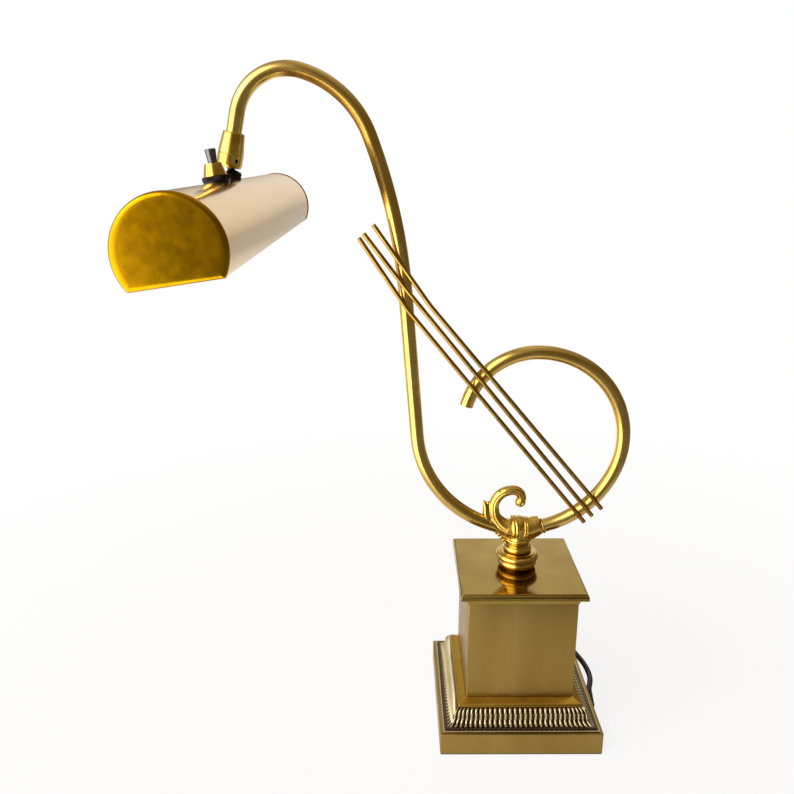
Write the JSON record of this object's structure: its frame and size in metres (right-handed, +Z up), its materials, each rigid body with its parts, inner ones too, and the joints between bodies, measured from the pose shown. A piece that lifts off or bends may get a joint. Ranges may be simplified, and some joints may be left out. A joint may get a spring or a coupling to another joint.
{
  "type": "piano lamp",
  "caption": "Brass piano lamp: treble-clef stem of bent tube on a weighted square pedestal, with a long half-round shade on a ball swivel and a rotary switch.",
  "frame": {"origin": "middle of the underside of the square base, on the table", "axes": "+Z up; -Y faces the player; the arm reaches out towards -X; the shade runs along Y"},
  "size_m": [0.3772, 0.4407, 0.6043],
  "materials": {
    "polished_brass": "polished and lacquered",
    "satin_brass": "brushed satin, lacquered, a little aged",
    "cast_brass": "cast, buffed, dark in the recesses",
    "black_steel": "blackened, semi-gloss",
    "plated_steel": "zinc plated",
    "nickel_shell": "nickel plated",
    "iron": "raw casting",
    "felt": "dark green felt",
    "dark_resin": "moulded phenolic",
    "black_resin": "moulded, glossy",
    "white_sleeve": "fibre sleeve",
    "frosted_glass": "frosted inside",
    "black_cord": "smooth black jacket"
  },
  "bodies": {
    "stand": {"felt_pad": "felt", "plinth": "satin_brass", "iron_ballast": "iron", "fluted_band": "satin_brass", "slope_moulding": "satin_brass", "column_box": "satin_brass", "top_plate": "satin_brass", "tie_pipe": "plated_steel", "pipe_washer": "plated_steel", "pipe_nut": "plated_steel", "pedestal": "cast_brass", "clef_holder": "cast_brass", "stem_tube": "polished_brass", "loop_tube": "polished_brass", "string_left": "polished_brass", "string_middle": "polished_brass", "string_right": "polished_brass", "upper_collar": "polished_brass", "inner_lead": "black_cord", "strain_relief": "black_cord", "cord_lead": "black_cord", "cord_coil": "black_cord", "cord_tail": "black_cord", "plug_body": "black_cord", "plug_blades": "nickel_shell"},
    "swivel": {"lower_collar": "polished_brass", "set_screw": "black_steel"},
    "shade": {"ball_stem": "black_steel", "swivel_washer": "plated_steel", "inner_washer": "plated_steel", "inner_nut": "plated_steel", "shade_shell": "polished_brass", "near_cap": "polished_brass", "far_cap": "polished_brass", "holder_bracket": "plated_steel", "bracket_screws": "plated_steel", "lampholder": "dark_resin", "bulb_base": "nickel_shell", "bulb_glass": "frosted_glass", "switch_body": "dark_resin", "switch_ring": "black_steel", "switch_ferrule": "polished_brass", "shade_lead": "white_sleeve"},
    "knob": {"switch_knob": "black_resin"}
  },
  "joints": [
    {"name": "shade_pan", "type": "hinge", "parent": "stand", "child": "swivel", "pos_m": [-0.252, 0, 0.5275], "axis": [0.2079, 0, 0.9781], "range_deg": [-50, 50]},
    {"name": "shade_tilt", "type": "hinge", "parent": "swivel", "child": "shade", "pos_m": [-0.252, 0, 0.5275], "axis": [0, 1, 0], "range_deg": [-8, 40]},
    {"name": "switch_turn", "type": "hinge", "parent": "shade", "child": "knob", "pos_m": [-0.24933, -0.069, 0.51203], "axis": [-0.1478, 0, 0.989], "continuous": true}
  ]
}
